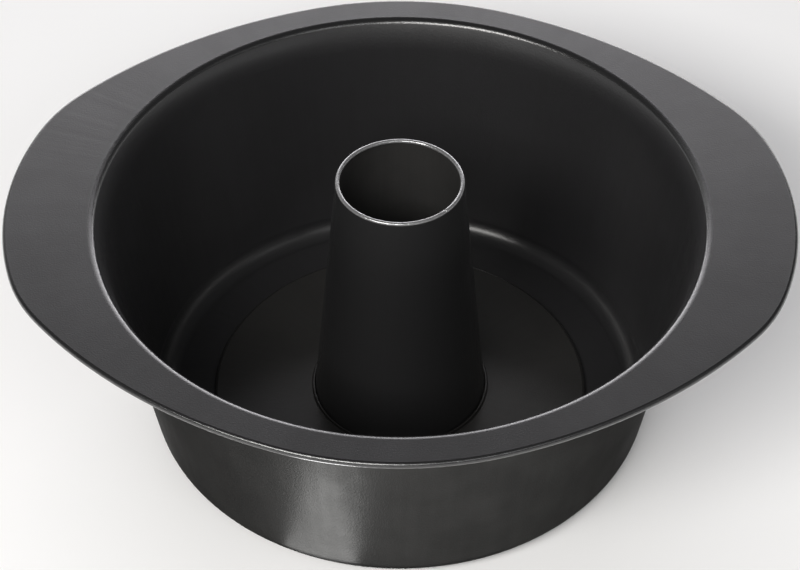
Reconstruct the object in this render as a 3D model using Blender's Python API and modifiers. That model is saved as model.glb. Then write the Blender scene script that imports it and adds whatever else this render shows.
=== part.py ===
"""Tube cake pan in two parts: a pan body with a flat rim and two handles, and a lift-out insert.

The insert is a base plate that caps the lip of the body's floor opening, with a tapered tube clinched
to it. Every piece is one sheet of steel. Metres, +Z up. The origin is the centre of the underside, the
handles lie along X, and the insert lifts out along Z.
"""

import math

import bmesh
import bpy

# Sheet and fits
SHEET = 0.0008
SEAT_GAP = 0.0003
LIP_CLEARANCE = 0.0004

# Pan body
RIM_HEIGHT = 0.102
MOUTH_RADIUS = 0.1225
MOUTH_FILLET = 0.0033
FLOOR_FLAT_RADIUS = 0.0938
BASE_FILLET = 0.0087
LIP_RISE = 0.001
LIP_BEND = 0.0004

# Rim: its width at front and back and at the handles, and the arcs of its outline
RIM_WIDTH = 0.012
HANDLE_WIDTH = 0.0331
HANDLE_END_CENTRE = 0.0261
HANDLE_END_ANGLE = math.radians(20)
HANDLE_CORNER_RADIUS = 0.07
FLANK_RADIUS = 0.21
RIM_CURL_BORE = 0.0006
RIM_CURL_TURN = math.radians(240)

# Base plate
LEDGE_SHOWN = 0.0156
PLATE_SKIRT = 0.0004
COLLAR_BEND = 0.0005
COLLAR_RISE = 0.001

# Tube
TUBE_STAND = 0.0145
TUBE_TOP_RADIUS = 0.0253
TUBE_FOOT_RADIUS = 0.0356
TUBE_CURL_BORE = 0.0001
TUBE_CURL_TURN = math.radians(200)
TUBE_FLANGE = 0.004

# Coatings, as colour and roughness
PAN_COATING = ((0.06, 0.06, 0.064), 0.42)
PLATE_COATING = ((0.03, 0.029, 0.027), 0.42)
TUBE_COATING = ((0.03, 0.03, 0.032), 0.42)

# Facets
PAN_SEGMENTS = 72
PLATE_SEGMENTS = 72
TUBE_SEGMENTS = 48
FILLET_STEPS = 5
BEND_STEPS = 3
CURL_STEPS = 6
SHARP_ANGLE = math.radians(35)
MERGE = 0.00001

# Heights that the pieces share
LEDGE_TOP = SHEET
LIP_TOP = LEDGE_TOP + LIP_RISE
PLATE_UNDERSIDE = LIP_TOP + SEAT_GAP
PLATE_TOP = PLATE_UNDERSIDE + SHEET
PLATE_FOOT = LEDGE_TOP + SEAT_GAP
COLLAR_CENTRE_HEIGHT = PLATE_TOP + COLLAR_BEND
COLLAR_TOP = COLLAR_CENTRE_HEIGHT + COLLAR_RISE
TUBE_HEIGHT = RIM_HEIGHT + TUBE_STAND

# Radii that follow from the sizes above
RIM_RADIUS = MOUTH_RADIUS + RIM_WIDTH
HANDLE_REACH = MOUTH_RADIUS + HANDLE_WIDTH
RIM_CURL = RIM_CURL_BORE + SHEET
TUBE_CURL = TUBE_CURL_BORE + SHEET
PLATE_RADIUS = FLOOR_FLAT_RADIUS - LEDGE_SHOWN
PLATE_EDGE_BEND = PLATE_TOP - PLATE_FOOT - PLATE_SKIRT
LIP_RADIUS = PLATE_RADIUS - SHEET - LIP_CLEARANCE
COLLAR_RADIUS = TUBE_FOOT_RADIUS + SEAT_GAP + SHEET
COLLAR_CENTRE_RADIUS = COLLAR_RADIUS + COLLAR_BEND
TUBE_FOOT_BEND = COLLAR_BEND + SHEET + SEAT_GAP

QUARTER = math.pi / 2


def arc(centre, radius, start, end, steps):
    """Points of an arc about centre, from angle start to angle end, both ends included."""
    angles = [start + (end - start) * step / steps for step in range(steps + 1)]
    return [(centre[0] + radius * math.cos(a), centre[1] + radius * math.sin(a)) for a in angles]


def tangent_normal(first, first_offset, second, second_offset):
    """Normal angle of the line that lies first_offset off one centre and second_offset off the other."""
    across = first[0] - second[0]
    along = first[1] - second[1]
    return math.atan2(along, across) + math.acos((first_offset - second_offset) / math.hypot(across, along))


def circle_meeting(first, first_radius, second, second_radius):
    """The crossing of two circles that lies to the right of the way from the first centre to the second."""
    gap = math.dist(first, second)
    along = (first_radius**2 - second_radius**2 + gap**2) / (2 * gap)
    across = math.sqrt(first_radius**2 - along**2)
    ux = (second[0] - first[0]) / gap
    uy = (second[1] - first[1]) / gap
    return (first[0] + ux * along + uy * across, first[1] + uy * along - ux * across)


def rim_arcs():
    """The quarter outline's arcs as (least azimuth, centre, radius), from the front circle to the handle."""
    axis = (0.0, 0.0)
    end = (HANDLE_END_CENTRE, 0.0)
    end_radius = HANDLE_REACH - HANDLE_END_CENTRE
    inset = end_radius - HANDLE_CORNER_RADIUS
    corner = (end[0] + inset * math.cos(HANDLE_END_ANGLE), inset * math.sin(HANDLE_END_ANGLE))
    # The flank touches the front circle and the corner's circle from outside both.
    flank = circle_meeting(axis, FLANK_RADIUS - RIM_RADIUS, corner, FLANK_RADIUS - HANDLE_CORNER_RADIUS)

    def touch_azimuth(centre):
        """Azimuth at which the corner arc touches the arc about centre."""
        reach = HANDLE_CORNER_RADIUS / math.dist(centre, corner)
        x = corner[0] + (corner[0] - centre[0]) * reach
        y = corner[1] + (corner[1] - centre[1]) * reach
        return math.atan2(y, x)

    return [
        (math.atan2(-flank[1], -flank[0]), axis, RIM_RADIUS),
        (touch_azimuth(flank), flank, FLANK_RADIUS),
        (touch_azimuth(end), corner, HANDLE_CORNER_RADIUS),
        (0.0, end, end_radius),
    ]


def rim_point(azimuth, arcs):
    """The outline's point at an azimuth, and the outward normal there, as (x, y, normal x, normal y)."""
    across = math.cos(azimuth)
    along = math.sin(azimuth)
    folded = math.atan2(abs(along), abs(across))
    centre, radius = next((c, r) for least, c, r in arcs if folded >= least)
    ux = math.cos(folded)
    uy = math.sin(folded)
    ahead = ux * centre[0] + uy * centre[1]
    reach = ahead + math.sqrt(ahead**2 + radius**2 - centre[0] ** 2 - centre[1] ** 2)
    x = reach * ux
    y = reach * uy
    side_x = math.copysign(1, across)
    side_y = math.copysign(1, along)
    return (side_x * x, side_y * y, side_x * (x - centre[0]) / radius, side_y * (y - centre[1]) / radius)


def pan_section():
    """The bowl side of the pan body's sheet, from the lip round the floor opening up to the flat rim."""
    lip_bend = (LIP_RADIUS + LIP_BEND, LEDGE_TOP + LIP_BEND)
    base = (FLOOR_FLAT_RADIUS, LEDGE_TOP + BASE_FILLET)
    mouth = (MOUTH_RADIUS, RIM_HEIGHT - MOUTH_FILLET)
    # The wall's normal away from the axis: the mouth's centre lies outside it and the base's inside.
    wall = -tangent_normal((mouth[0], -mouth[1]), MOUTH_FILLET, (base[0], -base[1]), -BASE_FILLET)
    points = [(LIP_RADIUS, LIP_TOP)]
    points += arc(lip_bend, LIP_BEND, 2 * QUARTER, 3 * QUARTER, BEND_STEPS)
    points += arc(base, BASE_FILLET, -QUARTER, wall, FILLET_STEPS)
    points += arc(mouth, MOUTH_FILLET, wall + 2 * QUARTER, QUARTER, FILLET_STEPS)
    return points


def pan_rings():
    """Rings of the pan body's sheet: circles up to the mouth, then the rim's outline rolled under."""
    azimuths = [4 * QUARTER * step / PAN_SEGMENTS for step in range(PAN_SEGMENTS)]
    rings = [[(r * math.cos(a), r * math.sin(a), z) for a in azimuths] for r, z in pan_section()]
    arcs = rim_arcs()
    edge = [rim_point(a, arcs) for a in azimuths]
    roll = arc((-RIM_CURL, RIM_HEIGHT - RIM_CURL), RIM_CURL, QUARTER, QUARTER - RIM_CURL_TURN, CURL_STEPS)
    rings += [[(x + out * nx, y + out * ny, z) for x, y, nx, ny in edge] for out, z in roll]
    return rings


def plate_section():
    """The cake side of the base plate's sheet, from the collar round the tube to the turned-down edge."""
    collar = (COLLAR_CENTRE_RADIUS, COLLAR_CENTRE_HEIGHT)
    edge = (PLATE_RADIUS - PLATE_EDGE_BEND, PLATE_TOP - PLATE_EDGE_BEND)
    points = [(COLLAR_RADIUS, COLLAR_TOP)]
    points += arc(collar, COLLAR_BEND, 2 * QUARTER, 3 * QUARTER, BEND_STEPS)
    points += arc(edge, PLATE_EDGE_BEND, QUARTER, 0.0, BEND_STEPS)
    points.append((PLATE_RADIUS, PLATE_FOOT))
    return points


def tube_section():
    """The outer side of the tube's sheet, from the edge rolled inward at the top down to the flange."""
    top = (TUBE_TOP_RADIUS - TUBE_CURL, TUBE_HEIGHT - TUBE_CURL)
    foot = (COLLAR_CENTRE_RADIUS, COLLAR_CENTRE_HEIGHT)
    # The wall's normal away from the axis: the foot's centre lies outside it and the curl's inside.
    wall = tangent_normal(foot, TUBE_FOOT_BEND, top, -TUBE_CURL)
    points = arc(top, TUBE_CURL, wall + TUBE_CURL_TURN, wall, CURL_STEPS)
    points += arc(foot, TUBE_FOOT_BEND, wall + 2 * QUARTER, 3 * QUARTER, BEND_STEPS)
    points.append((foot[0] + TUBE_FLANGE, foot[1] - TUBE_FOOT_BEND))
    return points


def coating(name, colour, roughness):
    """Dark non-stick coating on steel."""
    material = bpy.data.materials.new(name)
    material.use_nodes = True
    shader = material.node_tree.nodes["Principled BSDF"]
    shader.inputs["Base Color"].default_value = (*colour, 1.0)
    shader.inputs["Roughness"].default_value = roughness
    shader.inputs["Metallic"].default_value = 0.0
    return material


def finish(obj, collection, parent, material):
    """Puts an object in the pan's collection under its parent, with its coating and smooth shading."""
    collection.objects.link(obj)
    obj.parent = parent
    obj.data.materials.append(material)
    obj.data.shade_smooth()
    obj.data.set_sharp_from_angle(angle=SHARP_ANGLE)


def thicken(obj):
    """Gives a skin the sheet's thickness behind it."""
    solid = obj.modifiers.new("Sheet", "SOLIDIFY")
    solid.thickness = SHEET
    solid.offset = -1
    solid.use_even_offset = True
    solid.use_rim = True


def lofted(name, rings):
    """An open skin through rings of equal count, its faces looking into the bowl."""
    mesh = bpy.data.meshes.new(name)
    skin = bmesh.new()
    loops = [[skin.verts.new(point) for point in ring] for ring in rings]
    for inner, outer in zip(loops, loops[1:]):
        for step in range(len(inner)):
            after = (step + 1) % len(inner)
            skin.faces.new((inner[step], outer[step], outer[after], inner[after]))
    skin.normal_update()
    skin.to_mesh(mesh)
    skin.free()
    return bpy.data.objects.new(name, mesh)


def turned(name, section, segments):
    """A skin turned about Z from a section that runs from top to bottom on the +X side."""
    mesh = bpy.data.meshes.new(name)
    edges = [(index, index + 1) for index in range(len(section) - 1)]
    mesh.from_pydata([(r, 0.0, z) for r, z in section], edges, [])
    obj = bpy.data.objects.new(name, mesh)
    screw = obj.modifiers.new("Turn", "SCREW")
    screw.axis = "Z"
    screw.steps = segments
    screw.render_steps = segments
    screw.use_merge_vertices = True
    screw.merge_threshold = MERGE
    screw.use_smooth_shade = True
    return obj


def main():
    """Clears the scene and builds the pan body and the insert's two pieces."""
    for obj in list(bpy.data.objects):
        bpy.data.objects.remove(obj, do_unlink=True)
    pan = bpy.data.collections.new("tube_cake_pan")
    bpy.context.scene.collection.children.link(pan)
    lift_axis = bpy.data.objects.new("insert_lift_axis", None)
    pan.objects.link(lift_axis)

    body = lofted("pan_body", pan_rings())
    thicken(body)
    finish(body, pan, None, coating("pan_coating", *PAN_COATING))

    plate = turned("base_plate", plate_section(), PLATE_SEGMENTS)
    thicken(plate)
    finish(plate, pan, lift_axis, coating("plate_coating", *PLATE_COATING))

    tube = turned("centre_tube", tube_section(), TUBE_SEGMENTS)
    thicken(tube)
    finish(tube, pan, lift_axis, coating("tube_coating", *TUBE_COATING))


main()
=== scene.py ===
"""Visual model of the tube cake pan: smooth pressed-sheet meshes, coatings, studio and camera.

Metres, +Z up. The pan's underside lies on z = 0 and the handles lie along X. Each piece is drawn
as a section, along the upper side of the sheet or the outer side of the tube, swept into a skin, and
then given the thickness of the sheet behind it.
"""
import logging
import math
from collections.abc import Callable
from dataclasses import dataclass, field
from enum import Enum

import bmesh
import bpy
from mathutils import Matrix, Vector


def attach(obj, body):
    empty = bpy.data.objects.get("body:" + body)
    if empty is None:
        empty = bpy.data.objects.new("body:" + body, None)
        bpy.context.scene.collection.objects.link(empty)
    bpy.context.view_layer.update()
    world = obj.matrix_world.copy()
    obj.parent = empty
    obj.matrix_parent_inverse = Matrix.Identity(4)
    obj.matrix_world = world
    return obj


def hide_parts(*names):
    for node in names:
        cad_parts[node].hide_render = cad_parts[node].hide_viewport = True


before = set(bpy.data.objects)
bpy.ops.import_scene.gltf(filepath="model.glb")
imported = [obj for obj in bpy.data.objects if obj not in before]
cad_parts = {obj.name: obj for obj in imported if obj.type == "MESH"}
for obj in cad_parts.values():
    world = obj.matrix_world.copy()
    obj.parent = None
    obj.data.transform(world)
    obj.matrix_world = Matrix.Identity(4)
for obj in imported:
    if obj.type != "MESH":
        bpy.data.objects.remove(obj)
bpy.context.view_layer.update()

LOG = logging.getLogger("tube_cake_pan")

Point = tuple[float, float]
Colour = tuple[float, float, float]
BEND = "bend"
QUARTER = math.pi / 2
HALF_TURN = math.pi
FULL_TURN = 2 * math.pi
WHITE: Colour = (1.0, 1.0, 1.0)
WARM_WHITE: Colour = (1.0, 0.98, 0.955)
COOL_WHITE: Colour = (0.985, 0.965, 1.0)


class Body(Enum):
    """The frame's moving bodies."""

    PAN = "pan"
    INSERT = "insert"


class Pick(Enum):
    """What is picked in edit mode."""

    VERTICES = "VERT"
    EDGES = "EDGE"


@dataclass(frozen=True)
class SheetStock:
    """The steel that every piece is pressed from, and the clearances between the pieces."""

    thickness: float = 0.0008
    seat_gap: float = 0.0003
    lip_clearance: float = 0.0004
    cut_edge: float = 0.00012


@dataclass(frozen=True)
class Finesse:
    """How finely the skins are divided, and from which angle or curvature an edge or a bend counts.

    A bend's mark grows from 0 at the curvature soft_bend to 1 at tight_bend, both in 1 / metre.
    """

    round_steps: int = 288
    fillet_steps: int = 14
    bend_steps: int = 6
    curl_steps: int = 22
    cut_edge_steps: int = 2
    smooth_angle: float = math.radians(40)
    cut_angle: float = math.radians(60)
    merge: float = 0.000005
    flat_margin: float = 0.0002
    soft_bend: float = 1 / 0.012
    tight_bend: float = 1 / 0.007

    @property
    def quarter_steps(self) -> int:
        """Steps round a quarter of the pan."""
        return self.round_steps // 4

    @property
    def tube_steps(self) -> int:
        """Steps round the tube, which is much narrower than the pan."""
        return self.round_steps // 2


STOCK = SheetStock()
FINE = Finesse()


def line_normal(first: Point, first_offset: float, second: Point, second_offset: float) -> float:
    """Normal angle of the line that lies a set distance off each of two centres.

    Args:
        first: First centre.
        first_offset: Distance from the line back to the first centre.
        second: Second centre.
        second_offset: Distance from the line back to the second centre.

    Returns:
        The angle of the line's normal, in radians.
    """
    across = first[0] - second[0]
    along = first[1] - second[1]
    gap = math.hypot(across, along)
    return math.atan2(along, across) + math.acos((first_offset - second_offset) / gap)


def on_circle(centre: Point, radius: float, angle: float) -> Point:
    """Point of a circle at an angle."""
    return (centre[0] + radius * math.cos(angle), centre[1] + radius * math.sin(angle))


def circle_meeting(first: Point, first_radius: float, second: Point, second_radius: float) -> Point:
    """The crossing of two circles to the right of the way from the first centre to the second.

    Args:
        first: First centre.
        first_radius: Radius about the first centre.
        second: Second centre.
        second_radius: Radius about the second centre.

    Returns:
        The crossing point.
    """
    gap = math.dist(first, second)
    along = (first_radius**2 - second_radius**2 + gap**2) / (2 * gap)
    across = math.sqrt(first_radius**2 - along**2)
    ux = (second[0] - first[0]) / gap
    uy = (second[1] - first[1]) / gap
    return (first[0] + ux * along + uy * across, first[1] + uy * along - ux * across)


def merge_doubles() -> None:
    """Merges the vertices of the mesh in edit mode that lie at the same place."""
    bpy.ops.mesh.select_all(action="SELECT")
    bpy.ops.mesh.remove_doubles(threshold=FINE.merge)


class SectionPen:
    """Draws a section in the XZ plane as one chain of edges, and sweeps it into a skin."""

    def __init__(self, name: str, start: Point) -> None:
        """Puts the chain's first point down.

        Args:
            name: Name of the object that the section becomes.
            start: Radius and height of the first point.
        """
        bpy.ops.object.select_all(action="DESELECT")
        bpy.ops.mesh.primitive_plane_add(size=STOCK.thickness, location=(start[0], 0.0, start[1]))
        self.obj = bpy.context.object
        self.obj.name = name
        self.obj.data.name = name
        bpy.ops.object.transform_apply(location=True, rotation=True, scale=True)
        bpy.ops.object.mode_set(mode="EDIT")
        bpy.ops.mesh.select_mode(type="VERT")
        bpy.ops.mesh.select_all(action="SELECT")
        bpy.ops.mesh.merge(type="CENTER")
        self.tip = start

    def line_to(self, point: Point) -> None:
        """Runs a straight line to a point.

        Args:
            point: Radius and height of the line's end.
        """
        move = (point[0] - self.tip[0], 0.0, point[1] - self.tip[1])
        bpy.ops.mesh.extrude_region_move(TRANSFORM_OT_translate={"value": move})
        self.tip = point

    def straight_to(self, point: Point) -> None:
        """Runs a straight line with a short edge at each end, past which no bend's mark spreads.

        Args:
            point: Radius and height of the line's end.
        """
        start = self.tip
        margin = FINE.flat_margin / math.dist(start, point)
        for share in (margin, 1 - margin, 1.0):
            radius = start[0] + (point[0] - start[0]) * share
            height = start[1] + (point[1] - start[1]) * share
            self.line_to((radius, height))

    def arc(self, centre: Point, start: float, end: float, steps: int) -> None:
        """Runs an arc from the tip, which lies at the start angle about the centre.

        Args:
            centre: Centre of the arc.
            start: Angle of the tip, from +X towards +Z.
            end: Angle at which the arc stops.
            steps: Number of edges in the arc.
        """
        radius = math.dist(centre, self.tip)
        bpy.ops.mesh.spin(
            steps=steps, angle=end - start, center=(centre[0], 0.0, centre[1]), axis=(0.0, 1.0, 0.0)
        )
        self.tip = on_circle(centre, radius, end)

    def turn(self, steps: int) -> bpy.types.Object:
        """Turns the section once round Z and leaves edit mode.

        Args:
            steps: Number of columns of faces.

        Returns:
            The skin.
        """
        return self.sweep([((0.0, 0.0), FULL_TURN, steps)])

    def sweep(self, bends: list[tuple[Point, float, int]]) -> bpy.types.Object:
        """Carries the section round one upright axis after another and leaves edit mode.

        Args:
            bends: The place of each axis, the angle round it, and the number of steps.

        Returns:
            The skin.
        """
        bpy.ops.mesh.select_all(action="SELECT")
        for centre, angle, steps in bends:
            bpy.ops.mesh.spin(
                steps=steps, angle=angle, center=(*centre, 0.0), axis=(0.0, 0.0, -1.0)
            )
        merge_doubles()
        bpy.ops.object.mode_set(mode="OBJECT")
        return self.obj


class SheetWork:
    """The steps that turn a skin into a finished piece of sheet metal."""

    @staticmethod
    def make_active(obj: bpy.types.Object) -> None:
        """Selects one object alone and makes it the active one.

        Args:
            obj: The object.
        """
        bpy.ops.object.select_all(action="DESELECT")
        obj.select_set(True)
        bpy.context.view_layer.objects.active = obj

    @staticmethod
    def apply_modifier(obj: bpy.types.Object, kind: str, **settings: object) -> None:
        """Adds a modifier, sets it and applies it.

        Args:
            obj: The piece.
            kind: Blender's name for the modifier.
            **settings: Values of the modifier's properties.
        """
        SheetWork.make_active(obj)
        modifier = obj.modifiers.new(kind.title(), kind)
        for name, value in settings.items():
            setattr(modifier, name, value)
        bpy.ops.object.modifier_apply(modifier=modifier.name)

    @staticmethod
    def edit(obj: bpy.types.Object, pick: Pick) -> bmesh.types.BMesh:
        """Enters edit mode with nothing selected.

        Args:
            obj: The object to edit.
            pick: What is to be selected next.

        Returns:
            The mesh as it is edited.
        """
        SheetWork.make_active(obj)
        bpy.ops.object.mode_set(mode="EDIT")
        bpy.ops.mesh.select_mode(type=pick.value)
        bpy.ops.mesh.select_all(action="DESELECT")
        return bmesh.from_edit_mesh(obj.data)

    @staticmethod
    def select_edges(obj: bpy.types.Object, wanted: Callable[[bmesh.types.BMEdge], bool]) -> None:
        """Enters edit mode with only the wanted edges selected.

        Args:
            obj: The object to edit.
            wanted: Says of an edge whether it is wanted.
        """
        mesh = SheetWork.edit(obj, Pick.EDGES)
        for edge in mesh.edges:
            if wanted(edge):
                edge.select_set(True)
        bmesh.update_edit_mesh(obj.data)

    @staticmethod
    def select_vertices(obj: bpy.types.Object, wanted: Callable[[Vector], bool]) -> None:
        """Enters edit mode with only the vertices at wanted places selected.

        Args:
            obj: The object to edit.
            wanted: Says of a place whether its vertex is wanted.
        """
        mesh = SheetWork.edit(obj, Pick.VERTICES)
        for vertex in mesh.verts:
            vertex.select_set(wanted(vertex.co))
        mesh.select_flush_mode()
        bmesh.update_edit_mesh(obj.data)

    @staticmethod
    def face_up(obj: bpy.types.Object) -> None:
        """Turns every face of a skin the same way, so that the whole of the drawn side looks up.

        Args:
            obj: The skin.
        """
        SheetWork.make_active(obj)
        bpy.ops.object.mode_set(mode="EDIT")
        bpy.ops.mesh.select_all(action="SELECT")
        bpy.ops.mesh.normals_make_consistent(inside=False)
        bpy.ops.object.mode_set(mode="OBJECT")
        upward = sum(polygon.normal.z * polygon.area for polygon in obj.data.polygons)
        if upward < 0:
            bpy.ops.object.mode_set(mode="EDIT")
            bpy.ops.mesh.flip_normals()
            bpy.ops.object.mode_set(mode="OBJECT")

    @staticmethod
    def finish(obj: bpy.types.Object) -> bpy.types.Object:
        """Gives a skin the sheet's thickness behind its drawn side, rounds its cuts and smooths it.

        The far side gets the second of the piece's two material slots.

        Args:
            obj: The skin.

        Returns:
            The finished piece.
        """
        SheetWork.face_up(obj)
        for side in ("drawn_side", "far_side"):
            obj.data.materials.append(bpy.data.materials.new(side))
        SheetWork.apply_modifier(
            obj,
            "SOLIDIFY",
            thickness=STOCK.thickness,
            offset=-1.0,
            use_even_offset=True,
            use_rim=True,
            material_offset=1,
        )
        SheetWork.apply_modifier(
            obj,
            "BEVEL",
            width=STOCK.cut_edge,
            segments=FINE.cut_edge_steps,
            limit_method="ANGLE",
            angle_limit=FINE.cut_angle,
        )
        bpy.ops.object.mode_set(mode="EDIT")
        merge_doubles()
        bpy.ops.object.mode_set(mode="OBJECT")
        bpy.ops.object.shade_smooth_by_angle(angle=FINE.smooth_angle)
        return obj


@dataclass
class RimOutline:
    """The rim seen from above: two round handles that flanks blend into the circle between them.

    The quarter from the +X handle's end to the back is four touching arcs, and the rest mirrors it.
    """

    mouth_radius: float
    rim_width: float = 0.012
    handle_width: float = 0.0331
    handle_end_centre: float = 0.0261
    handle_end_angle: float = math.radians(20)
    handle_corner_radius: float = 0.07
    flank_radius: float = 0.21

    @property
    def rim_radius(self) -> float:
        """Radius of the rim at front and back."""
        return self.mouth_radius + self.rim_width

    @property
    def reach(self) -> float:
        """Distance from the axis to a handle's end."""
        return self.mouth_radius + self.handle_width

    def bends(self, quarter_steps: int) -> list[tuple[Point, float, int]]:
        """The quarter's arcs, from the handle's end round to the back.

        Args:
            quarter_steps: Number of steps that the arcs share by the azimuth that they span.

        Returns:
            The centre, angle and steps of each arc.
        """
        axis = (0.0, 0.0)
        end = (self.handle_end_centre, 0.0)
        inset = self.reach - self.handle_end_centre - self.handle_corner_radius
        corner = on_circle(end, inset, self.handle_end_angle)
        flank = circle_meeting(
            axis,
            self.flank_radius - self.rim_radius,
            corner,
            self.flank_radius - self.handle_corner_radius,
        )
        flank_start = math.atan2(corner[1] - flank[1], corner[0] - flank[0])
        flank_end = math.atan2(-flank[1], -flank[0])
        arcs = [
            (end, self.reach - self.handle_end_centre, 0.0, self.handle_end_angle),
            (corner, self.handle_corner_radius, self.handle_end_angle, flank_start),
            (flank, self.flank_radius, flank_start, flank_end),
            (axis, self.rim_radius, flank_end, QUARTER),
        ]
        bends = []
        done = 0
        for centre, radius, start, stop in arcs:
            x, y = on_circle(centre, radius, stop)
            reached = round(quarter_steps * math.atan2(y, x) / QUARTER)
            bends.append((centre, stop - start, reached - done))
            done = reached
        return bends


@dataclass
class PanBody:
    """The drawn pan: flat rim with rolled edge, mouth, sloping wall, base corner, ledge, lip."""

    rim_height: float = 0.102
    mouth_radius: float = 0.1225
    mouth_fillet: float = 0.0033
    flare_radius: float = 0.036
    flare_head: float = math.radians(152)
    floor_flat_radius: float = 0.0938
    base_fillet: float = 0.0087
    lip_rise: float = 0.001
    lip_bend: float = 0.0004
    ledge_shown: float = 0.0156
    rim_curl_bore: float = 0.0006
    rim_curl_turn: float = math.radians(240)
    outline: RimOutline = field(init=False)

    def __post_init__(self) -> None:
        """Sets the rim's outline round the mouth."""
        self.outline = RimOutline(self.mouth_radius)

    @property
    def ledge_top(self) -> float:
        """Height of the ledge that the insert rests on."""
        return STOCK.thickness

    @property
    def lip_top(self) -> float:
        """Height of the lip round the floor opening."""
        return self.ledge_top + self.lip_rise

    @property
    def lip_radius(self) -> float:
        """Radius of the floor opening."""
        return self.floor_flat_radius - self.ledge_shown - STOCK.thickness - STOCK.lip_clearance

    def bowl(self) -> bpy.types.Object:
        """Draws the section from the lip up to the flat of the rim and turns it.

        Returns:
            The bowl's skin.
        """
        lip_centre = (self.lip_radius + self.lip_bend, self.ledge_top + self.lip_bend)
        base_centre = (self.floor_flat_radius, self.ledge_top + self.base_fillet)
        mouth_centre = (self.mouth_radius, self.rim_height - self.mouth_fillet)
        inset = self.mouth_fillet - self.flare_radius
        flare_centre = on_circle(mouth_centre, inset, self.flare_head)
        wall = -line_normal(
            (flare_centre[0], -flare_centre[1]),
            self.flare_radius,
            (base_centre[0], -base_centre[1]),
            -self.base_fillet,
        )
        pen = SectionPen("pan_shell", (self.lip_radius, self.lip_top))
        pen.line_to((self.lip_radius, lip_centre[1]))
        pen.arc(lip_centre, HALF_TURN, 3 * QUARTER, FINE.bend_steps)
        pen.straight_to((self.floor_flat_radius, self.ledge_top))
        pen.arc(base_centre, -QUARTER, wall, FINE.fillet_steps)
        pen.straight_to(on_circle(flare_centre, self.flare_radius, wall + HALF_TURN))
        pen.arc(flare_centre, wall + HALF_TURN, self.flare_head, FINE.fillet_steps)
        pen.arc(mouth_centre, self.flare_head, QUARTER, FINE.fillet_steps)
        pen.line_to((self.mouth_radius + FINE.flat_margin, self.rim_height))
        return pen.turn(FINE.round_steps)

    def rolled_edge(self) -> bpy.types.Object:
        """Draws the roll at the +X handle, sweeps it to the back and mirrors it all round.

        Returns:
            The rolled edge's skin.
        """
        curl = self.rim_curl_bore + STOCK.thickness
        start = self.outline.reach - curl
        pen = SectionPen("pan_edge", (start - FINE.flat_margin, self.rim_height))
        pen.line_to((start, self.rim_height))
        curl_centre = (start, self.rim_height - curl)
        pen.arc(curl_centre, QUARTER, QUARTER - self.rim_curl_turn, FINE.curl_steps)
        edge = pen.sweep(self.outline.bends(FINE.quarter_steps))
        SheetWork.apply_modifier(
            edge, "MIRROR", use_axis=(True, True, False), merge_threshold=FINE.merge
        )
        return edge

    def build(self) -> bpy.types.Object:
        """Joins bowl and rolled edge by the flat rim and gives them the sheet's thickness.

        Returns:
            The pan body.
        """
        shell = self.bowl()
        edge = self.rolled_edge()
        SheetWork.make_active(shell)
        edge.select_set(True)
        bpy.ops.object.join()
        level = self.rim_height - FINE.merge
        SheetWork.select_edges(
            shell, lambda rim: rim.is_boundary and all(vertex.co.z > level for vertex in rim.verts)
        )
        bpy.ops.mesh.bridge_edge_loops()
        bpy.ops.object.mode_set(mode="OBJECT")
        return SheetWork.finish(shell)

    def dress(self, shell: bpy.types.Object, coating: "Coating", outside: "Coating") -> None:
        """Coats the pan body and fixes it to the frame."""
        place(shell, Body.PAN, "pan_body", "pan_coating", coating, outside)


@dataclass
class BasePlate:
    """The lift-out floor: a disc that caps the lip, with a collar drawn up round the tube."""

    pan: PanBody
    skirt: float = 0.0004
    collar_bend: float = 0.0005
    collar_rise: float = 0.001
    tube_radius: float = 0.0356

    @property
    def collar_radius(self) -> float:
        """Radius over the collar."""
        return self.tube_radius + STOCK.seat_gap + STOCK.thickness

    @property
    def radius(self) -> float:
        """Radius over the turned-down edge."""
        return self.pan.floor_flat_radius - self.pan.ledge_shown

    @property
    def top(self) -> float:
        """Height of the plate's upper side."""
        return self.pan.lip_top + STOCK.seat_gap + STOCK.thickness

    @property
    def foot(self) -> float:
        """Height of the turned-down edge's cut, just above the ledge."""
        return self.pan.ledge_top + STOCK.seat_gap

    @property
    def collar_centre(self) -> Point:
        """Centre of the collar's bend, which the tube's foot bends about too."""
        return (self.collar_radius + self.collar_bend, self.top + self.collar_bend)

    def build(self) -> bpy.types.Object:
        """Draws the section from the collar out to the turned-down edge and turns it.

        Returns:
            The base plate.
        """
        collar = self.collar_centre
        edge_bend = self.top - self.foot - self.skirt
        edge_centre = (self.radius - edge_bend, self.top - edge_bend)
        pen = SectionPen("floor_plate", (self.collar_radius, collar[1] + self.collar_rise))
        pen.line_to((self.collar_radius, collar[1]))
        pen.arc(collar, HALF_TURN, 3 * QUARTER, FINE.bend_steps * 2)
        pen.straight_to((edge_centre[0], self.top))
        pen.arc(edge_centre, QUARTER, 0.0, FINE.bend_steps * 2)
        pen.line_to((self.radius, self.foot))
        return SheetWork.finish(pen.turn(FINE.round_steps))

    def dress(self, plate: bpy.types.Object, coating: "Coating") -> None:
        """Coats the base plate and fixes it to the frame."""
        place(plate, Body.INSERT, "base_plate", "plate_coating", coating, coating)


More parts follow.
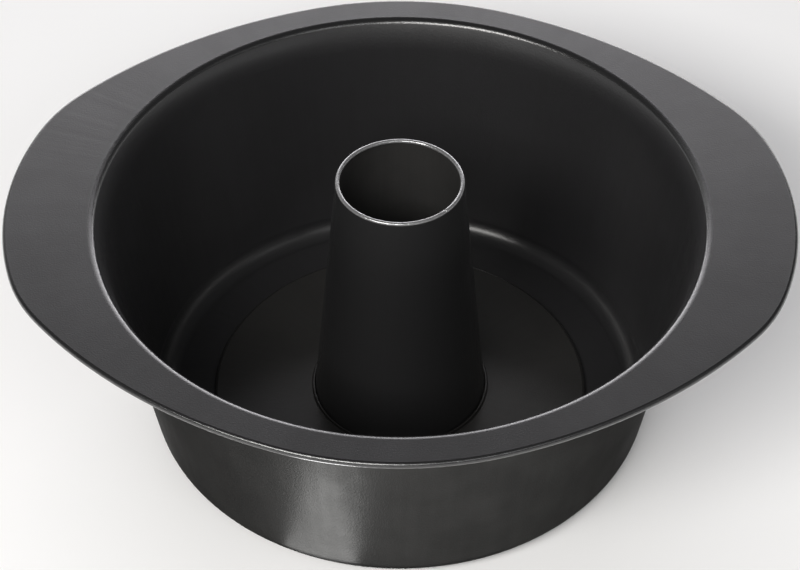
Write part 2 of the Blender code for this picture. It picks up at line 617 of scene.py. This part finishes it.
@dataclass
class CentreTube:
    """The tapered tube: top edge rolled inward and nicked at the weld, flange under the plate."""

    pan: PanBody
    plate: BasePlate
    stand: float = 0.0145
    top_radius: float = 0.0253
    curl_bore: float = 0.0001
    curl_turn: float = math.radians(200)
    flange: float = 0.004
    seam_azimuth: float = math.radians(-43)
    nick_width: float = 0.0006
    nick_depth: float = 0.0004
    nick_reach: float = 0.0033

    @property
    def top(self) -> float:
        """Height of the tube's rolled edge."""
        return self.pan.rim_height + self.stand

    @property
    def curl(self) -> float:
        """Radius over the rolled edge."""
        return self.curl_bore + STOCK.thickness

    def skin(self) -> bpy.types.Object:
        """Draws the outer side from the edge rolled inward down to the flange and turns it.

        Returns:
            The tube's skin.
        """
        foot_bend = self.plate.collar_bend + STOCK.thickness + STOCK.seat_gap
        curl_centre = (self.top_radius - self.curl, self.top - self.curl)
        foot_centre = self.plate.collar_centre
        wall = line_normal(foot_centre, foot_bend, curl_centre, -self.curl)
        pen = SectionPen("tapered_tube", on_circle(curl_centre, self.curl, wall + self.curl_turn))
        pen.arc(curl_centre, wall + self.curl_turn, wall, FINE.curl_steps)
        pen.straight_to(on_circle(foot_centre, foot_bend, wall + HALF_TURN))
        pen.arc(foot_centre, wall + HALF_TURN, 3 * QUARTER, FINE.bend_steps * 2)
        pen.line_to((foot_centre[0] + self.flange, foot_centre[1] - foot_bend))
        return pen.turn(FINE.tube_steps)

    def add_nick(self, tube: bpy.types.Object) -> None:
        """Nicks the rolled edge where the ends of the tube's sheet meet.

        Args:
            tube: The finished tube.
        """
        out = Vector((math.cos(self.seam_azimuth), math.sin(self.seam_azimuth), 0.0))
        aside = Vector((-out.y, out.x, 0.0))
        curl_foot = self.top - 2 * self.curl
        nick_foot = self.top - self.curl / 2
        for offset in (-self.nick_width / 2, 0.0, self.nick_width / 2):
            SheetWork.select_vertices(
                tube,
                lambda co: co.z > curl_foot
                and co.dot(out) > 0
                and abs(co.dot(aside)) < self.nick_reach,
            )
            bpy.ops.mesh.bisect(plane_co=aside * offset, plane_no=aside)
            bpy.ops.object.mode_set(mode="OBJECT")
        SheetWork.select_vertices(
            tube,
            lambda co: co.z > nick_foot and co.dot(out) > 0 and abs(co.dot(aside)) < FINE.merge,
        )
        down = Vector((0.0, 0.0, self.nick_depth))
        bpy.ops.transform.translate(value=-out * self.nick_depth - down)
        bpy.ops.object.mode_set(mode="OBJECT")

    def build(self) -> bpy.types.Object:
        """Makes the tube and nicks it.

        Returns:
            The tube.
        """
        tube = SheetWork.finish(self.skin())
        self.add_nick(tube)
        return tube

    def dress(self, tube: bpy.types.Object, coating: "Coating", bore: "Coating") -> None:
        """Coats the tube and fixes it to the frame."""
        place(tube, Body.INSERT, "centre_tube", "tube_coating", coating, bore)


Feed = bpy.types.NodeSocket | float | tuple[float, ...]


class NodeBench:
    """Adds nodes to one tree and joins them up."""

    def __init__(self, tree: bpy.types.NodeTree) -> None:
        """Takes the tree to work on."""
        self.tree = tree

    def feed(self, socket: bpy.types.NodeSocket, value: Feed) -> None:
        """Feeds one input.

        Args:
            socket: The input.
            value: A socket to link it to, or a value to set.
        """
        if isinstance(value, bpy.types.NodeSocket):
            self.tree.links.new(value, socket)
        else:
            socket.default_value = value

    def add(self, kind: str, feeds: dict[str | int, Feed], **settings: object) -> bpy.types.Node:
        """Adds a node, sets its options and feeds its inputs.

        Args:
            kind: Blender's name for the node.
            feeds: For each input, by name or number, a socket to link or a value to set.
            **settings: Values of the node's options.

        Returns:
            The node.
        """
        node = self.tree.nodes.new(kind)
        for name, value in settings.items():
            setattr(node, name, value)
        for key, value in feeds.items():
            self.feed(node.inputs[key], value)
        return node

    def math(self, operation: str, *terms: Feed) -> bpy.types.NodeSocket:
        """Joins numbers by one sum, product or other operation."""
        return self.add("ShaderNodeMath", dict(enumerate(terms)), operation=operation).outputs[0]

    def vector(self, operation: str, *terms: Feed, out: str = "Vector") -> bpy.types.NodeSocket:
        """Joins vectors by one operation that gives a Vector or a Value."""
        feeds = dict(enumerate(terms))
        return self.add("ShaderNodeVectorMath", feeds, operation=operation).outputs[out]

    def plan(self, place: Feed) -> tuple[bpy.types.NodeSocket, bpy.types.NodeSocket]:
        """A place's share in the plan, as a vector, and its height."""
        parts = self.add("ShaderNodeSeparateXYZ", {0: place}).outputs
        return self.add("ShaderNodeCombineXYZ", {0: parts[0], 1: parts[1]}).outputs[0], parts[2]

    def remap(
        self, value: Feed, source: Point, target: Point = (0.0, 1.0)
    ) -> bpy.types.NodeSocket:
        """Carries a number smoothly from one range to another.

        Args:
            value: The number.
            source: Where the number's range starts and ends.
            target: What its ends become.

        Returns:
            The carried number.
        """
        feeds = {0: value, 1: source[0], 2: source[1], 3: target[0], 4: target[1]}
        return self.add("ShaderNodeMapRange", feeds, interpolation_type="SMOOTHSTEP").outputs[0]

    def noise(self, place: Feed, scale: Feed, detail: float) -> bpy.types.NodeSocket:
        """Cloudy noise over a place, as a number about a half."""
        feeds = {"Vector": place, "Scale": scale, "Detail": detail}
        return self.add("ShaderNodeTexNoise", feeds).outputs[0]

    def blend(self, share: Feed, low: Feed, high: Feed) -> bpy.types.NodeSocket:
        """Blends two colours."""
        return self.add("ShaderNodeMix", {0: share, 6: low, 7: high}, data_type="RGBA").outputs[2]


class Effect:
    """A surface effect that the coatings share: a node group, built once and placed in each."""

    title = ""
    takes: tuple[tuple[str, str], ...] = ()
    gives: tuple[str, ...] = ()

    def fill(self, bench: NodeBench, given: bpy.types.Node, out: bpy.types.Node) -> None:
        """Builds the effect's own nodes between the group's input and output."""
        raise NotImplementedError

    def group(self) -> bpy.types.NodeTree:
        """The effect's node group, made the first time that it is asked for.

        Returns:
            The node group.
        """
        made = bpy.data.node_groups.get(self.title)
        if made:
            return made
        made = bpy.data.node_groups.new(self.title, "ShaderNodeTree")
        for name, kind in self.takes:
            made.interface.new_socket(name=name, in_out="INPUT", socket_type=kind)
        for name in self.gives:
            made.interface.new_socket(name=name, in_out="OUTPUT", socket_type="NodeSocketFloat")
        bench = NodeBench(made)
        self.fill(bench, bench.add("NodeGroupInput", {}), bench.add("NodeGroupOutput", {}))
        return made

    def place(self, bench: NodeBench, **feeds: Feed) -> bpy.types.Node:
        """Places the effect in a material, each input fed by name."""
        return bench.add("ShaderNodeGroup", feeds, node_tree=self.group())


class SatinGrain(Effect):
    """The sprayed coating's fine sparkle and its slow, cloudy mottle."""

    title = "satin_grain"
    takes = (
        ("Place", "NodeSocketVector"),
        ("Grain", "NodeSocketFloat"),
        ("Cloud", "NodeSocketFloat"),
    )
    gives = ("Sparkle", "Mottle")
    sparkle_detail = 2.0
    sparkle_range = (0.25, 0.75)
    mottle_detail = 4.0
    mottle_range = (0.3, 0.7)

    def fill(self, bench: NodeBench, given: bpy.types.Node, out: bpy.types.Node) -> None:
        """Fine noise for the sparkle, coarse noise for the mottle.

        Args:
            bench: The group's bench.
            given: The group's input node.
            out: The group's output node.
        """
        place = given.outputs["Place"]
        fine = bench.noise(place, given.outputs["Grain"], self.sparkle_detail)
        coarse = bench.noise(place, given.outputs["Cloud"], self.mottle_detail)
        bench.feed(out.inputs["Sparkle"], bench.remap(fine, self.sparkle_range))
        bench.feed(out.inputs["Mottle"], bench.remap(coarse, self.mottle_range))


class DrawMarks(Effect):
    """Marks of pressing: streaks down the walls and fine rings round the axis."""

    title = "draw_marks"
    takes = (
        ("Place", "NodeSocketVector"),
        ("Streaks", "NodeSocketFloat"),
        ("Rings", "NodeSocketFloat"),
    )
    gives = ("Streak", "Ring")
    detail = 3.0
    spread = (0.3, 0.7)
    streak_change = 0.6

    def fill(self, bench: NodeBench, given: bpy.types.Node, out: bpy.types.Node) -> None:
        """Noise over the bearing from the axis for streaks, and along the section for rings.

        The streaks change slowly with the height, by the share streak_change.

        Args:
            bench: The group's bench.
            given: The group's input node.
            out: The group's output node.
        """
        flat, height = bench.plan(given.outputs["Place"])
        rise = bench.math("MULTIPLY", height, self.streak_change)
        lifted = bench.add("ShaderNodeCombineXYZ", {2: rise}).outputs[0]
        along = bench.vector("ADD", bench.vector("NORMALIZE", flat), lifted)
        streak = bench.noise(along, given.outputs["Streaks"], self.detail)
        way = bench.math("ADD", bench.vector("LENGTH", flat, out="Value"), height)
        feeds = {"W": way, "Scale": given.outputs["Rings"], "Detail": self.detail}
        ring = bench.add("ShaderNodeTexNoise", feeds, noise_dimensions="1D").outputs[0]
        bench.feed(out.inputs["Streak"], bench.remap(streak, self.spread))
        bench.feed(out.inputs["Ring"], bench.remap(ring, self.spread))


class EdgeWearAndSheen(Effect):
    """Where tight bends and cut edges are rubbed, which on the tube's rolled edge also carries a
    painted sheen: the mesh's bend attribute, broken up by noise.
    """

    title = "edge_wear_and_sheen"
    takes = (
        ("Place", "NodeSocketVector"),
        ("Bend", "NodeSocketFloat"),
        ("Patchiness", "NodeSocketFloat"),
    )
    gives = ("Wear_and_sheen",)
    patches = 420.0
    patch_detail = 4.0
    patch_range = (0.35, 0.65)

    def fill(self, bench: NodeBench, given: bpy.types.Node, out: bpy.types.Node) -> None:
        """Takes patches of noise away from the bend.

        Args:
            bench: The group's bench.
            given: The group's input node.
            out: The group's output node.
        """
        noise = bench.noise(given.outputs["Place"], self.patches, self.patch_detail)
        patch = bench.remap(noise, self.patch_range)
        loss = bench.math("MULTIPLY", patch, given.outputs["Patchiness"])
        kept = bench.math("SUBTRACT", given.outputs["Bend"], loss)
        bench.feed(out.inputs["Wear_and_sheen"], bench.math("MAXIMUM", kept, 0.0))


@dataclass(frozen=True)
class Coating:
    """A satin non-stick coating, sprayed on a pressed sheet.

    The shares say how far each mask carries the colour from dark to light, and the heights, in
    metres, how far it stands up.
    """

    name: str
    colour: Colour
    light_colour: Colour
    # Colour at rubbed bends; on the tube it is partly wear and partly a painted sheen on the rolled
    # edge.
    wear_and_sheen_colour: Colour
    roughness: float
    metal: float = 0.0
    bend_metal: float = 0.0
    edge_tint: float = 1.0
    bend_roughness: float = 0.15
    ior: float = 1.5
    gloss: float = 1.0
    gloss_roughness: float = 0.27
    gloss_ior: float = 1.5
    grain: float = 1500.0
    cloud: float = 45.0
    streaks: float = 26.0
    rings: float = 900.0
    patchiness: float = 0.15
    roughness_swing: float = 0.03
    mottle_share: float = 0.6
    streak_share: float = 0.25
    sparkle_share: float = 0.25
    sparkle_height: float = 0.00005
    mottle_height: float = 0.00002
    streak_height: float = 0.00001
    ring_height: float = 0.000002

    def relief(self, bench: NodeBench, place: Feed) -> bpy.types.NodeSocket | None:
        """Height of whatever relief only this coating's sheet has, in metres."""
        return None

    def height(
        self, bench: NodeBench, place: Feed, masks: dict[str, Feed]
    ) -> bpy.types.NodeSocket:
        """Adds up the coating's relief.

        Args:
            bench: The material's bench.
            place: Where on the piece the surface point lies.
            masks: The sparkle, mottle, streak and ring.

        Returns:
            The height, in metres.
        """
        height = bench.math("MULTIPLY", masks["Sparkle"], self.sparkle_height)
        for name, depth in (
            ("Mottle", self.mottle_height),
            ("Streak", self.streak_height),
            ("Ring", self.ring_height),
        ):
            height = bench.math("MULTIPLY_ADD", masks[name], depth, height)
        relief = self.relief(bench, place)
        return bench.math("ADD", height, relief) if relief else height

    def paint(self, bench: NodeBench, shader: bpy.types.Node) -> None:
        """Sets and feeds the shader of the coating's material.

        Args:
            bench: The material's bench.
            shader: The material's shader.
        """
        place = bench.add("ShaderNodeTexCoord", {}).outputs["Object"]
        bend = bench.add("ShaderNodeAttribute", {}, attribute_name=BEND).outputs["Fac"]
        satin = SatinGrain().place(bench, Place=place, Grain=self.grain, Cloud=self.cloud)
        marks = DrawMarks().place(bench, Place=place, Streaks=self.streaks, Rings=self.rings)
        rubbing_and_sheen = EdgeWearAndSheen().place(bench, Place=place, Bend=bend, Patchiness=self.patchiness)
        masks = {socket.name: socket for node in (satin, marks) for socket in node.outputs}
        wear_and_sheen = rubbing_and_sheen.outputs["Wear_and_sheen"]
        streaky = bench.math("MULTIPLY", masks["Streak"], self.streak_share)
        cloudy = bench.math("MULTIPLY_ADD", masks["Mottle"], self.mottle_share, streaky)
        share = bench.math("MULTIPLY_ADD", masks["Sparkle"], self.sparkle_share, cloudy)
        body = bench.blend(share, (*self.colour, 1.0), (*self.light_colour, 1.0))
        ends = (self.roughness + self.roughness_swing, self.roughness - self.roughness_swing)
        rough = bench.remap(share, (0.0, 1.0), ends)
        smoother = self.bend_roughness - self.roughness
        height = self.height(bench, place, masks)
        bump = bench.add("ShaderNodeBump", {"Height": height, "Distance": 1.0, "Strength": 1.0})
        metal: Feed = self.metal
        if self.bend_metal != self.metal:
            metal = bench.remap(wear_and_sheen, (0.0, 1.0), (self.metal, self.bend_metal))
        # At bends the colour moves to the worn colour: rubbed coating, and on the tube's rolled edge
        # also a painted sheen.
        for name, value in {
            "Base Color": bench.blend(wear_and_sheen, body, (*self.wear_and_sheen_colour, 1.0)),
            "Roughness": bench.math("MULTIPLY_ADD", wear_and_sheen, smoother, rough),
            "Normal": bump.outputs["Normal"],
            "Metallic": metal,
            "Specular Tint": (self.edge_tint, self.edge_tint, self.edge_tint, 1.0),
            "Coat Weight": self.gloss,
            "Coat Roughness": self.gloss_roughness,
            "Coat IOR": self.gloss_ior,
            "IOR": self.ior,
        }.items():
            bench.feed(shader.inputs[name], value)

    def material(self) -> bpy.types.Material:
        """The coating's material, built the first time that it is asked for.

        Returns:
            The material.
        """
        material = bpy.data.materials.get(self.name)
        if material:
            return material
        material = bpy.data.materials.new(self.name)
        material.use_nodes = True
        tree = material.node_tree
        self.paint(NodeBench(tree), tree.nodes["Principled BSDF"])
        return material


@dataclass(frozen=True)
class PanCoating(Coating):
    """The pan body's coating, with the faint puckers of drawing in the rim beside one handle."""

    pucker_azimuth: float = math.radians(158)
    pucker_spread: float = math.radians(17)
    pucker_count: float = 30.0
    pucker_detail: float = 1.0
    pucker_height: float = 0.0002

    def relief(self, bench: NodeBench, place: Feed) -> bpy.types.NodeSocket | None:
        """Radial waves on the rim, strongest beside the handle.

        Args:
            bench: The material's bench.
            place: Where on the piece the surface point lies.

        Returns:
            The waves' height, in metres.
        """
        bearing = bench.vector("NORMALIZE", bench.plan(place)[0])
        toward = (math.cos(self.pucker_azimuth), math.sin(self.pucker_azimuth), 0.0)
        near = bench.vector("DOT_PRODUCT", bearing, toward, out="Value")
        mask = bench.remap(near, (math.cos(self.pucker_spread), 1.0))
        waves = bench.noise(bearing, self.pucker_count, self.pucker_detail)
        depth = bench.math("MULTIPLY", mask, self.pucker_height)
        return bench.math("MULTIPLY", waves, depth)


def mark_bends(obj: bpy.types.Object) -> None:
    """Stores how tightly the sheet is bent at each point, from 0 on flats to 1 on rolls and cuts.

    Args:
        obj: The finished piece.
    """
    mesh = bmesh.new()
    mesh.from_mesh(obj.data)
    bends = []
    for vertex in mesh.verts:
        tightest = 0.0
        for edge in vertex.link_edges:
            if len(edge.link_faces) == 2:
                first, second = edge.link_faces
                gap = (first.calc_center_median() - second.calc_center_median()).length
                turn = first.normal.angle(second.normal, 0.0)
                tightest = max(tightest, turn / max(gap, FINE.merge))
        share = (tightest - FINE.soft_bend) / (FINE.tight_bend - FINE.soft_bend)
        bends.append(min(max(share, 0.0), 1.0))
    mesh.free()
    layer = obj.data.attributes.new(BEND, "FLOAT", "POINT")
    layer.data.foreach_set("value", bends)


def place(
    piece: bpy.types.Object,
    body: Body,
    node: str,
    slot: str,
    coating: Coating,
    far_coating: Coating,
) -> None:
    """Marks a piece's bends, coats it, lets it ride on its body and shows it for its CAD node.

    Args:
        piece: The finished mesh.
        body: Body that it moves with.
        node: CAD node that it stands for.
        slot: Material slot of the record.
        coating: Finish of the side that the section draws.
        far_coating: Finish of the sheet's far side.
    """
    mark_bends(piece)
    for number, finish in enumerate((coating, far_coating)):
        blank = piece.data.materials[number]
        piece.data.materials[number] = finish.material()
        bpy.data.materials.remove(blank)
    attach(piece, body.value)
    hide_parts(node)
    LOG.info("%s: %d faces, rides on %s", piece.name, len(piece.data.polygons), body.value)


@dataclass(frozen=True)
class Softbox:
    """A soft lamp, with its bearing and its elevation in degrees."""

    name: str
    azimuth: float
    elevation: float
    distance: float
    size: Point
    radiance: float
    tint: Colour = WHITE


SOFTBOXES = (
    Softbox("key", -25, 42, 1.4, (0.95, 0.35), 16.5, WARM_WHITE),
    Softbox("fill", 20, 42, 1.4, (1.0, 0.3), 2.6),
    Softbox("side", 70, 42, 1.4, (0.5, 0.35), 0.5),
    Softbox("back_foot", 180, 9, 1.6, (2.0, 0.26), 4.5, COOL_WHITE),
    Softbox("back_low", 180, 21, 1.6, (1.4, 0.25), 2.7, COOL_WHITE),
    Softbox("back", 180, 30, 1.6, (1.2, 0.25), 2.25, COOL_WHITE),
    Softbox("back_high", 180, 39, 1.6, (1.2, 0.25), 1.1, COOL_WHITE),
    Softbox("back_right", -145, 30, 1.6, (0.8, 0.5), 0.6),
)


def around(bearing: float, distance: float, height: float) -> Vector:
    """Place round the axis, its bearing taken from the front, which is -Y, towards +X."""
    return Vector((distance * math.sin(bearing), -distance * math.cos(bearing), height))


@dataclass
class Studio:
    """Floor, background, lamps and camera."""

    floor_size: float = 8.0
    floor_colour: Colour = (0.95, 0.95, 0.95)
    ambient: float = 0.25
    ceiling: float = 0.05
    fade_heights: Point = (0.03, 0.35)
    aim: tuple[float, float, float] = (0.0, 0.0, 0.08)
    strip_size: Point = (0.032, 0.075)
    strip_radiance: float = 4.6
    strip_azimuth: float = math.radians(-16.5)
    strip_distance: float = 0.142
    strip_height: float = 0.002
    focal_px: float = 2350.5
    frame_px: float = 800.0
    sensor_mm: float = 36.0
    camera_height: float = 0.72258
    camera_distance: float = 0.68407
    camera_pitch: float = 0.76953
    pan_turn: float = math.radians(1.93)

    def camera(self) -> None:
        """Sets the camera at the photograph's viewing point."""
        data = bpy.data.cameras.new("view")
        data.sensor_width = self.sensor_mm
        data.lens = self.focal_px / self.frame_px * self.sensor_mm
        camera = bpy.data.objects.new("view", data)
        camera.location = around(self.pan_turn, self.camera_distance, self.camera_height)
        camera.rotation_euler = (QUARTER - self.camera_pitch, 0.0, self.pan_turn)
        bpy.context.scene.collection.objects.link(camera)
        bpy.context.scene.camera = camera

    def shown(self, bench: NodeBench) -> bpy.types.NodeSocket:
        """A mask that is 1 for rays from the camera and for those that gloss or glass sends on.

        Args:
            bench: The bench of the tree that needs the mask.

        Returns:
            The mask.
        """
        path = bench.add("ShaderNodeLightPath", {}).outputs
        mirrored = bench.math("MAXIMUM", path["Is Glossy Ray"], path["Is Transmission Ray"])
        return bench.math("MAXIMUM", path["Is Camera Ray"], mirrored)

    def world(self) -> None:
        """White surroundings, dim overhead, and fainter where they only light the pan."""
        world = bpy.data.worlds.new("pale_studio")
        bpy.context.scene.world = world
        world.use_nodes = True
        bench = NodeBench(world.node_tree)
        background = world.node_tree.nodes["Background"]
        background.inputs["Color"].default_value = (*WHITE, 1.0)
        way = bench.add("ShaderNodeTexCoord", {}).outputs["Generated"]
        height = bench.add("ShaderNodeSeparateXYZ", {0: way}).outputs["Z"]
        fade = bench.remap(height, self.fade_heights, (1.0, self.ceiling))
        feeds = {0: self.shown(bench), 2: self.ambient, 3: fade}
        bench.feed(background.inputs["Strength"], bench.add("ShaderNodeMix", feeds).outputs[0])

    def floor(self) -> None:
        """A plain pale floor, lit and shaded by the lamps alone."""
        bpy.ops.object.select_all(action="DESELECT")
        bpy.ops.mesh.primitive_plane_add(size=self.floor_size)
        floor = bpy.context.object
        floor.name = "studio_floor"
        material = bpy.data.materials.new("studio_floor")
        material.use_nodes = True
        shader = material.node_tree.nodes["Principled BSDF"]
        shader.inputs["Base Color"].default_value = (*self.floor_colour, 1.0)
        shader.inputs["Roughness"].default_value = 1.0
        shader.inputs["Specular IOR Level"].default_value = 0.0
        floor.data.materials.append(material)

    def lamp(self, name: str, size: Point, radiance: float, tint: Colour) -> bpy.types.Object:
        """Makes a flat lamp that the camera doesn't see.

        Args:
            name: The lamp's name.
            size: Its width and height.
            radiance: Its brightness, which doesn't depend on its size.
            tint: Its colour.

        Returns:
            The lamp, at the origin.
        """
        light = bpy.data.lights.new(name, "AREA")
        light.shape = "RECTANGLE"
        light.size, light.size_y = size
        light.energy = radiance * math.pi * size[0] * size[1]
        light.color = tint
        lamp = bpy.data.objects.new(name, light)
        lamp.visible_camera = False
        bpy.context.scene.collection.objects.link(lamp)
        return lamp

    def softbox(self, box: Softbox) -> None:
        """Hangs a soft lamp that looks at the pan.

        Args:
            box: The lamp's place, size and light.
        """
        elevation = math.radians(box.elevation)
        out = around(math.radians(box.azimuth), math.cos(elevation), math.sin(elevation))
        lamp = self.lamp(box.name, box.size, box.radiance, box.tint)
        lamp.location = Vector(self.aim) + out * box.distance
        lamp.rotation_euler = out.to_track_quat("Z", "Y").to_euler()

    def floor_strip(self) -> None:
        """Lays a narrow lamp, facing up, on the floor in front, for the stripe on the wall."""
        strip = self.lamp("floor_strip", self.strip_size, self.strip_radiance, WHITE)
        strip.location = around(self.strip_azimuth, self.strip_distance, self.strip_height)
        strip.rotation_euler = (HALF_TURN, 0.0, self.strip_azimuth)

    def build(self) -> None:
        """Sets up the whole studio."""
        self.camera()
        self.world()
        self.floor()
        self.floor_strip()
        for box in SOFTBOXES:
            self.softbox(box)
        bpy.context.scene.view_settings.view_transform = "Standard"


PAN_SATIN = PanCoating(
    name="pan_satin",
    colour=(0.0065, 0.0063, 0.0071),
    light_colour=(0.0105, 0.0103, 0.0116),
    wear_and_sheen_colour=(0.012, 0.012, 0.0125),
    roughness=0.6,
)
OUTER_SATIN = Coating(
    name="outer_satin",
    colour=(0.06, 0.0598, 0.059),
    light_colour=(0.08, 0.0797, 0.0785),
    wear_and_sheen_colour=(0.07, 0.07, 0.07),
    roughness=0.42,
    metal=1.0,
    bend_metal=1.0,
    edge_tint=0.3,
    bend_roughness=0.3,
    gloss=0.0,
)
# The warm tone of the plate's colours is painted warm light on the floor of the pan.
PLATE_SATIN_WARM_LIGHT = Coating(
    name="plate_satin_warm_light",
    colour=(0.009, 0.0086, 0.0081),
    light_colour=(0.0145, 0.0139, 0.013),
    wear_and_sheen_colour=(0.014, 0.0135, 0.013),
    roughness=0.6,
)
# The light worn colour on the tube's rolled edge is partly bare metal from wear and partly a painted
# sheen that brightens the edge.
TUBE_SATIN = Coating(
    name="tube_satin",
    colour=(0.006, 0.006, 0.0063),
    light_colour=(0.009, 0.009, 0.0096),
    wear_and_sheen_colour=(0.3, 0.3, 0.305),
    roughness=0.6,
    bend_metal=0.6,
    bend_roughness=0.07,
)
# The bore's colour is a lighter copy of the tube's coating: painted light on the inside of the tube.
BORE_SATIN_PAINTED_LIGHT = Coating(
    name="bore_satin_painted_light",
    colour=(0.023, 0.0225, 0.022),
    light_colour=(0.034, 0.0333, 0.0323),
    wear_and_sheen_colour=(0.03, 0.03, 0.03),
    roughness=0.55,
)


def main() -> None:
    """Builds the pan, the insert and the studio."""
    logging.basicConfig(level=logging.INFO, format="%(name)s: %(message)s")
    pan = PanBody()
    plate = BasePlate(pan)
    tube = CentreTube(pan, plate)
    pan.dress(pan.build(), PAN_SATIN, OUTER_SATIN)
    plate.dress(plate.build(), PLATE_SATIN_WARM_LIGHT)
    tube.dress(tube.build(), TUBE_SATIN, BORE_SATIN_PAINTED_LIGHT)
    Studio().build()


if __name__ == "__main__":
    main()
